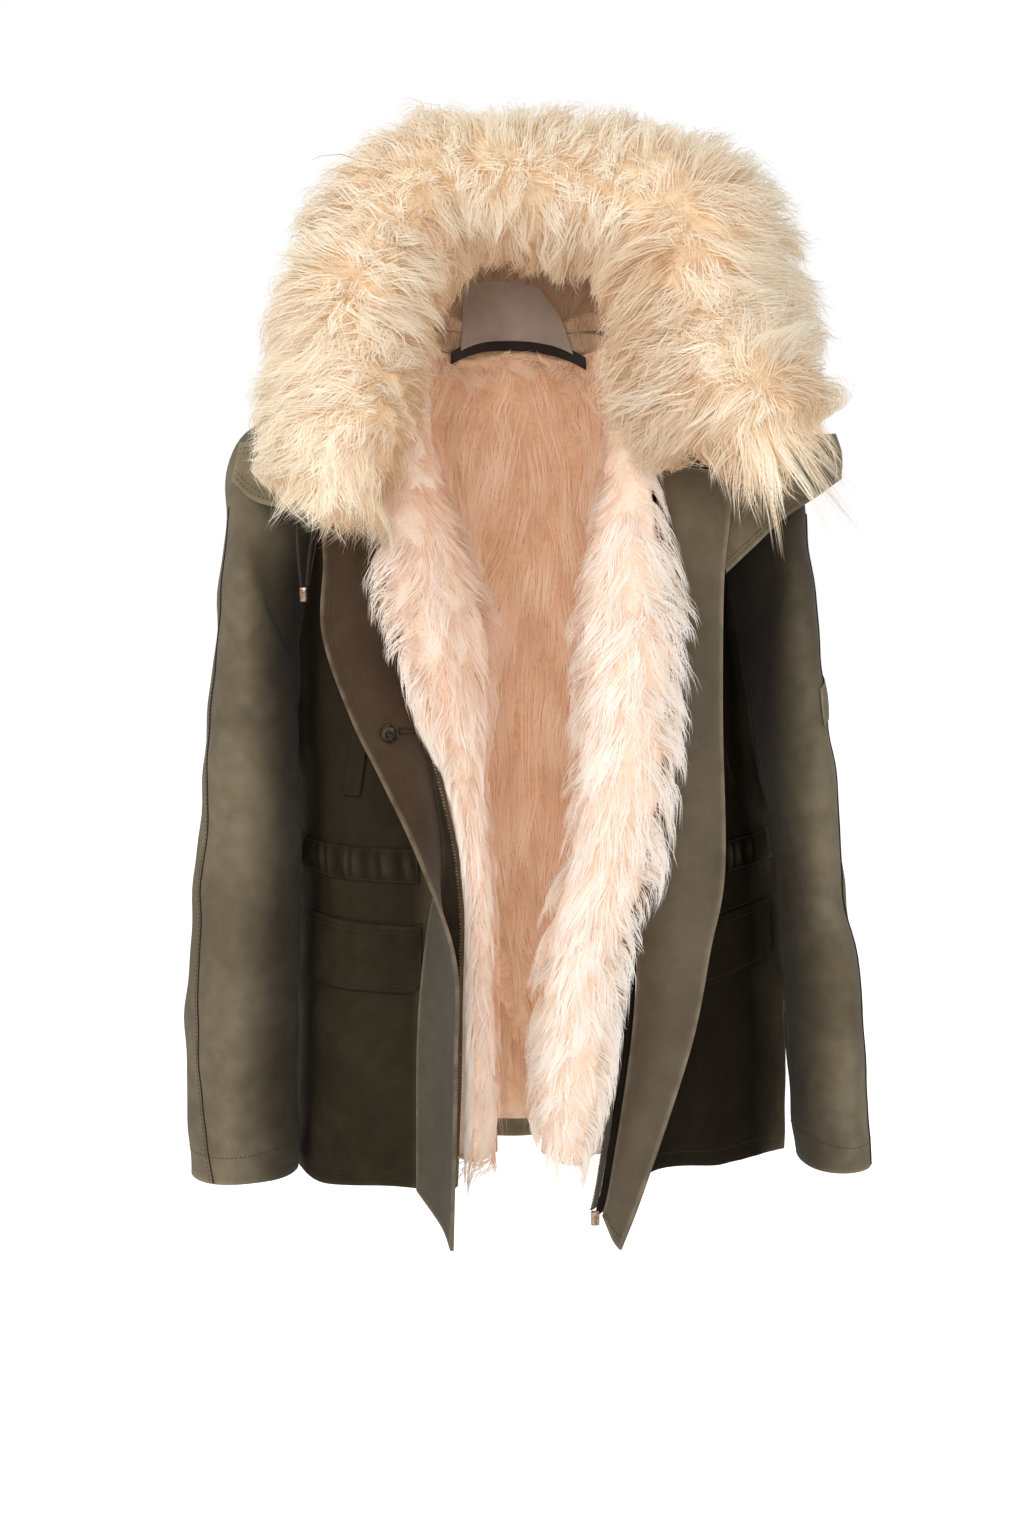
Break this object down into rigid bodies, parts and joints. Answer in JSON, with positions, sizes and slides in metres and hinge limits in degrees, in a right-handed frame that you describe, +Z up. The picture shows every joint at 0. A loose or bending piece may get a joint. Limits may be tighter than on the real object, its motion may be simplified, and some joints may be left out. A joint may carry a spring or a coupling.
{
  "type": "fur trimmed parka",
  "caption": "Long hooded winter parka, open down the front, lined with fur and edged with a wide fur ruff; filled out, with its flaps folded back.",
  "frame": {"origin": "middle of the neck opening, level with the back neck seam, where the wearer's neck and shoulders hold the garment", "axes": "+Z up along the wearer's spine, -Y the way the front opening faces, +X towards the wearer's left sleeve"},
  "size_m": [0.6131, 0.3441, 0.9515],
  "materials": {
    "shell_twill": "matt cotton twill",
    "facing_twill": "matt cotton twill",
    "fur_cream": "long loose fur",
    "fur_lining": "long dense fur",
    "neck_cloth": "soft napped cloth",
    "zip_tape": "woven tape",
    "dark_metal": "dark antique finish",
    "cord": "braided cord",
    "tan_tape": "woven tape"
  },
  "bodies": {
    "root": {"back": "shell_twill", "front_left": "shell_twill", "front_right": "shell_twill", "sleeve_front_left": "shell_twill", "sleeve_back_left": "shell_twill", "sleeve_front_right": "shell_twill", "sleeve_back_right": "shell_twill", "hood_centre": "shell_twill", "hood_side_left": "shell_twill", "hood_side_right": "shell_twill", "casing_back": "shell_twill", "casing_left": "shell_twill", "casing_right": "shell_twill", "pocket_flap_left": "shell_twill", "pocket_flap_right": "shell_twill", "welt_left": "shell_twill", "welt_right": "shell_twill", "throat_left": "shell_twill", "throat_right": "shell_twill", "sleeve_patch": "shell_twill", "flap_left": "facing_twill", "flap_right": "facing_twill", "ruff_left": "fur_cream", "ruff_right": "fur_cream", "lining_back": "fur_lining", "lining_left": "fur_lining", "lining_right": "fur_lining", "lining_hood": "fur_lining", "neck_panel": "neck_cloth", "neck_band": "zip_tape", "zip_tape_left": "zip_tape", "zip_tape_right": "zip_tape", "button": "dark_metal", "cord_tip": "dark_metal", "zip_end": "dark_metal", "cord_outer": "cord", "cord_inner": "cord", "lining_tab": "tan_tape"}
  },
  "joints": []
}
